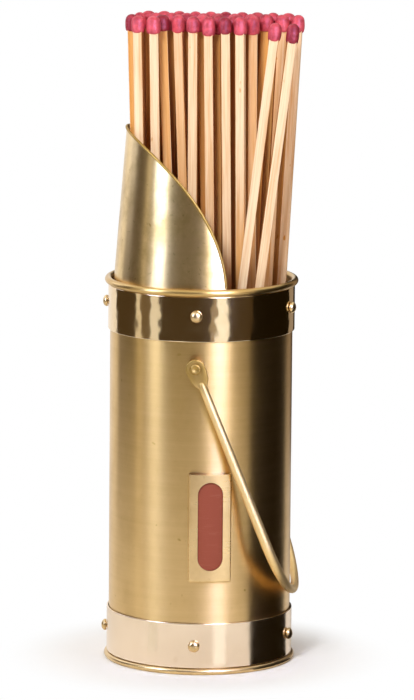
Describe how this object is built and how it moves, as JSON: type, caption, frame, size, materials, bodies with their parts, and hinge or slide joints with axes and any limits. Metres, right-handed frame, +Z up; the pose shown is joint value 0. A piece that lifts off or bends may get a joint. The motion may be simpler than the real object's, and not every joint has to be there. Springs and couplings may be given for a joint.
{
  "type": "match holder",
  "caption": "Brass tube match holder shaped like a small coal scuttle, with riveted bands, a tapered hood, a swinging bail handle, a striker pocket and long matches.",
  "frame": {"origin": "middle of the foot, on the surface the holder stands on", "axes": "+Z up along the tube; -Y the front, with the striker pocket; -X the side of the hood; +X the side where the handle hangs"},
  "size_m": [0.0873, 0.0914, 0.2851],
  "materials": {
    "satin_brass": "satin brass, brushed round the tube, lightly tarnished",
    "polished_brass": "polished brass, near mirror",
    "tarnished_brass": "satin brass with cloudy tarnish",
    "striker": "rough matt red-brown abrasive coat",
    "matchwood": "bare split aspen, fine straight grain",
    "match_head": "dipped pink-red composition, slightly waxy"
  },
  "bodies": {
    "holder": {"body_tube": "satin_brass", "rim_wire": "satin_brass", "base_plate": "polished_brass", "upper_band": "polished_brass", "lower_band": "polished_brass", "hood": "tarnished_brass", "upper_rivet_front": "polished_brass", "lower_rivet_front": "polished_brass", "upper_rivet_right": "polished_brass", "lower_rivet_right": "polished_brass", "upper_rivet_back": "polished_brass", "lower_rivet_back": "polished_brass", "upper_rivet_left": "polished_brass", "lower_rivet_left": "polished_brass", "pivot_rivet_front": "polished_brass", "pivot_washer_front": "polished_brass", "pivot_rivet_back": "polished_brass", "pivot_washer_back": "polished_brass", "striker_plate": "polished_brass"},
    "handle": {"handle_bail": "polished_brass"},
    "striker": {"striker_strip": "striker"},
    "matches": {"match_01": "matchwood", "match_02": "matchwood", "match_03": "matchwood", "match_04": "matchwood", "match_05": "matchwood", "match_06": "matchwood", "match_07": "matchwood", "match_08": "matchwood", "match_09": "matchwood", "match_10": "matchwood", "match_11": "matchwood", "match_12": "matchwood", "match_13": "matchwood", "match_14": "matchwood", "match_15": "matchwood", "match_16": "matchwood", "match_17": "matchwood", "match_18": "matchwood", "match_19": "matchwood", "match_20": "matchwood", "match_21": "matchwood", "match_22": "matchwood", "match_23": "matchwood", "match_24": "matchwood", "match_25": "matchwood", "match_26": "matchwood", "match_27": "matchwood", "match_28": "matchwood", "match_29": "matchwood", "match_30": "matchwood", "match_31": "matchwood", "match_32": "matchwood", "match_33": "matchwood", "match_34": "matchwood", "match_35": "matchwood", "match_36": "matchwood"}
  },
  "joints": [
    {"name": "handle_swing", "type": "hinge", "parent": "holder", "child": "handle", "pos_m": [0, 0, 0.1357], "axis": [0, -1, 0], "range_deg": [0, 128]},
    {"name": "striker_slide", "type": "slide", "parent": "holder", "child": "striker", "axis": [0, 0, 1], "range_m": [0, 0.04]},
    {"name": "matches_lift", "type": "slide", "parent": "holder", "child": "matches", "axis": [0, 0, 1], "range_m": [0, 0.24]}
  ]
}
